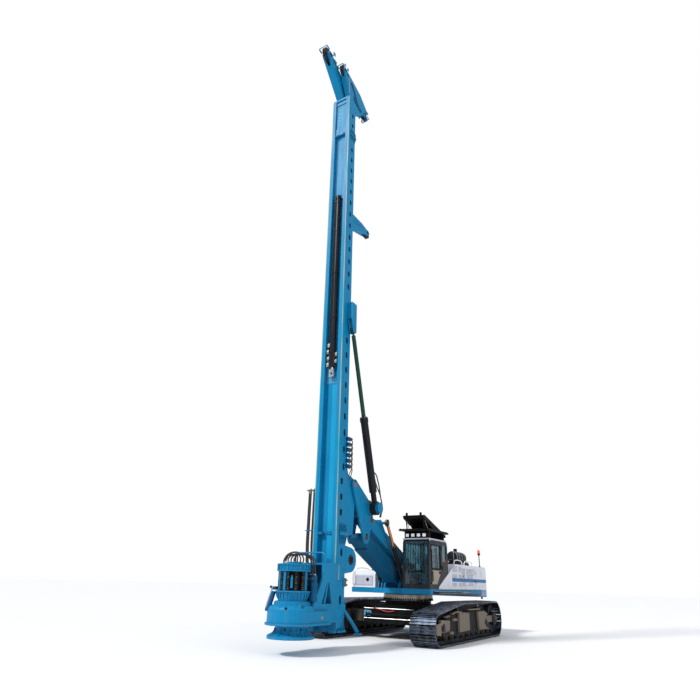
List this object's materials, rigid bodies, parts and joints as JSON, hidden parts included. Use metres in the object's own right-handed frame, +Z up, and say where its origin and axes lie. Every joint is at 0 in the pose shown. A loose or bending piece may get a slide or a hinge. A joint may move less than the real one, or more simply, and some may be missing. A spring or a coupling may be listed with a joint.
{
  "type": "rotary piling rig",
  "caption": "Tracked foundation drilling rig with a slewing house, a tall leader mast on a parallel linkage with backstay cylinders, and a rotary drive on a sliding carriage.",
  "frame": {"origin": "middle of the overall footprint, on the ground under the tracks", "axes": "+X forward to the mast, +Y to the cab side, +Z up"},
  "size_m": [11.89, 4.69, 22.0956],
  "materials": {
    "blue_enamel": "blue enamel, semi-gloss",
    "white_enamel": "off-white enamel, semi-gloss",
    "cab_enamel": "dark grey enamel, semi-gloss",
    "dark_steel": "black paint, satin",
    "track_steel": "blue-black rolled steel, worn",
    "frame_enamel": "brown-grey enamel, dusty",
    "cast_iron": "dark cast iron, rubbed bright at the rims",
    "bare_steel": "bare machined steel, lightly rusted",
    "black_barrel": "black enamel, gloss",
    "chromed_rod": "hard chrome, polished",
    "copper_rod": "copper-toned hard chrome, polished",
    "green_sheath": "dark green protective coat, satin",
    "seat_cloth": "black woven cloth"
  },
  "bodies": {
    "undercarriage": {"car_body": "dark_steel", "slew_ring": "bare_steel"},
    "left_track": {"left_track_frame": "frame_enamel", "left_track_belt": "track_steel", "left_idler": "cast_iron", "left_sprocket": "cast_iron"},
    "right_track": {"right_track_frame": "frame_enamel", "right_track_belt": "track_steel", "right_idler": "cast_iron", "right_sprocket": "cast_iron"},
    "house": {"house_frame": "blue_enamel", "counterweight": "white_enamel", "engine_hood": "white_enamel", "engine_block": "cast_iron", "cab_body": "cab_enamel", "operator_seat": "seat_cloth", "roof_guard": "dark_steel", "fuel_tank": "white_enamel", "air_cleaner": "dark_steel"},
    "cab_door": {"cab_door": "cab_enamel"},
    "hood_door_left": {"hood_door_left": "white_enamel"},
    "hood_door_right": {"hood_door_right": "white_enamel"},
    "boom": {"boom": "blue_enamel"},
    "upper_link": {"upper_link": "blue_enamel"},
    "rocker": {"rocker": "blue_enamel"},
    "left_luff_barrel": {"left_luff_barrel": "black_barrel"},
    "left_luff_rod": {"left_luff_rod": "copper_rod"},
    "right_luff_barrel": {"right_luff_barrel": "black_barrel"},
    "right_luff_rod": {"right_luff_rod": "copper_rod"},
    "mast": {"mast_lower": "blue_enamel", "mast_main": "blue_enamel", "mast_top": "blue_enamel", "mast_head": "blue_enamel", "crowd_barrel": "black_barrel"},
    "left_backstay_barrel": {"left_backstay_barrel": "black_barrel"},
    "left_backstay_rod": {"left_backstay_rod": "green_sheath"},
    "right_backstay_barrel": {"right_backstay_barrel": "black_barrel"},
    "right_backstay_rod": {"right_backstay_rod": "green_sheath"},
    "crowd_rod": {"crowd_rod": "chromed_rod"},
    "carriage": {"carriage": "blue_enamel", "drive_housing": "blue_enamel", "guard_rail": "blue_enamel"},
    "drive_sleeve": {"drive_sleeve": "blue_enamel"},
    "winch_drum": {"winch_drum": "dark_steel"},
    "main_sheave": {"main_sheave": "cast_iron"},
    "aux_sheave": {"aux_sheave": "cast_iron"},
    "rear_sheave": {"rear_sheave": "cast_iron"},
    "guide_sheave": {"guide_sheave": "cast_iron"}
  },
  "joints": [
    {"name": "left_track_slide", "type": "slide", "parent": "undercarriage", "child": "left_track", "axis": [0, 1, 0], "range_m": [-0.6, 0]},
    {"name": "right_track_slide", "type": "slide", "parent": "undercarriage", "child": "right_track", "axis": [0, -1, 0], "range_m": [-0.6, 0]},
    {"name": "slew", "type": "hinge", "parent": "undercarriage", "child": "house", "pos_m": [-1.595, 0, 1.34], "axis": [0, 0, 1], "continuous": true},
    {"name": "cab_door_hinge", "type": "hinge", "parent": "house", "child": "cab_door", "pos_m": [-0.975, 1.604, 2.16], "axis": [0, 0, 1], "range_deg": [0, 170]},
    {"name": "hood_door_left_hinge", "type": "hinge", "parent": "house", "child": "hood_door_left", "pos_m": [-4.345, 1.626, 1.74], "axis": [0, 0, 1], "range_deg": [0, 110]},
    {"name": "hood_door_right_hinge", "type": "hinge", "parent": "house", "child": "hood_door_right", "pos_m": [-4.345, -1.626, 1.74], "axis": [0, 0, -1], "range_deg": [0, 110]},
    {"name": "boom_luff", "type": "hinge", "parent": "house", "child": "boom", "pos_m": [-0.595, 0, 1.82], "axis": [0, -1, 0], "range_deg": [-3, 18]},
    {"name": "upper_link_pivot", "type": "hinge", "parent": "house", "child": "upper_link", "pos_m": [-0.945, 0, 2.37], "axis": [0, -1, 0], "range_deg": [-3, 18]},
    {"name": "rocker_pivot", "type": "hinge", "parent": "boom", "child": "rocker", "pos_m": [2.005, 0, 2.95], "axis": [0, -1, 0], "range_deg": [-18, 3]},
    {"name": "left_luff_barrel_pivot", "type": "hinge", "parent": "house", "child": "left_luff_barrel", "pos_m": [-0.375, 0.42, 1.66], "axis": [0, -1, 0], "range_deg": [-2.54, 14.99]},
    {"name": "left_luff_rod_slide", "type": "slide", "parent": "left_luff_barrel", "child": "left_luff_rod", "axis": [0.5421, 0, 0.8403], "range_m": [-0.0447, 0.263]},
    {"name": "right_luff_barrel_pivot", "type": "hinge", "parent": "house", "child": "right_luff_barrel", "pos_m": [-0.375, -0.42, 1.66], "axis": [0, -1, 0], "range_deg": [-2.54, 14.99]},
    {"name": "right_luff_rod_slide", "type": "slide", "parent": "right_luff_barrel", "child": "right_luff_rod", "axis": [0.5421, 0, 0.8403], "range_m": [-0.0447, 0.263]},
    {"name": "mast_tilt", "type": "hinge", "parent": "rocker", "child": "mast", "pos_m": [2.755, 0, 4.48], "axis": [0, -1, 0], "range_deg": [-5, 15]},
    {"name": "left_backstay_pivot", "type": "hinge", "parent": "rocker", "child": "left_backstay_barrel", "pos_m": [1.805, 0.5, 3.87], "axis": [0, -1, 0], "range_deg": [-4.4, 13.1]},
    {"name": "left_backstay_rod_slide", "type": "slide", "parent": "left_backstay_barrel", "child": "left_backstay_rod", "axis": [0.2756, 0, 0.9613], "range_m": [-0.2078, 0.0699]},
    {"name": "right_backstay_pivot", "type": "hinge", "parent": "rocker", "child": "right_backstay_barrel", "pos_m": [1.805, -0.5, 3.87], "axis": [0, -1, 0], "range_deg": [-4.4, 13.1]},
    {"name": "right_backstay_rod_slide", "type": "slide", "parent": "right_backstay_barrel", "child": "right_backstay_rod", "axis": [0.2756, 0, 0.9613], "range_m": [-0.2078, 0.0699]},
    {"name": "crowd_stroke", "type": "slide", "parent": "mast", "child": "crowd_rod", "axis": [0, 0, 1], "range_m": [-5.2, 0]},
    {"name": "carriage_travel", "type": "slide", "parent": "mast", "child": "carriage", "axis": [0, 0, 1], "range_m": [0, 5.2]},
    {"name": "drive_spin", "type": "hinge", "parent": "carriage", "child": "drive_sleeve", "pos_m": [5.285, 0, 0.42], "axis": [0, 0, 1], "continuous": true},
    {"name": "winch_spin", "type": "hinge", "parent": "mast", "child": "winch_drum", "pos_m": [3.065, 0, 2.27], "axis": [0, 1, 0], "continuous": true},
    {"name": "main_sheave_spin", "type": "hinge", "parent": "mast", "child": "main_sheave", "pos_m": [4.985, 0, 21.74], "axis": [0, 1, 0], "continuous": true},
    {"name": "aux_sheave_spin", "type": "hinge", "parent": "mast", "child": "aux_sheave", "pos_m": [4.265, 0, 21.44], "axis": [0, 1, 0], "continuous": true},
    {"name": "rear_sheave_spin", "type": "hinge", "parent": "mast", "child": "rear_sheave", "pos_m": [2.565, 0, 20.52], "axis": [0, 1, 0], "continuous": true},
    {"name": "guide_sheave_spin", "type": "hinge", "parent": "mast", "child": "guide_sheave", "pos_m": [1.765, 0, 14.8], "axis": [0, 1, 0], "continuous": true}
  ],
  "couplings": [
    {"joint": "upper_link_pivot", "follows": "boom_luff", "ratio": 1},
    {"joint": "rocker_pivot", "follows": "boom_luff", "ratio": -1},
    {"joint": "left_luff_barrel_pivot", "follows": "boom_luff", "ratio": 0.83},
    {"joint": "left_luff_rod_slide", "follows": "boom_luff", "m_per_rad": 0.834},
    {"joint": "right_luff_barrel_pivot", "follows": "boom_luff", "ratio": 0.83},
    {"joint": "right_luff_rod_slide", "follows": "boom_luff", "m_per_rad": 0.834},
    {"joint": "left_backstay_pivot", "follows": "mast_tilt", "ratio": 0.87},
    {"joint": "left_backstay_rod_slide", "follows": "mast_tilt", "m_per_rad": -0.79},
    {"joint": "right_backstay_pivot", "follows": "mast_tilt", "ratio": 0.87},
    {"joint": "right_backstay_rod_slide", "follows": "mast_tilt", "m_per_rad": -0.79}
  ]
}
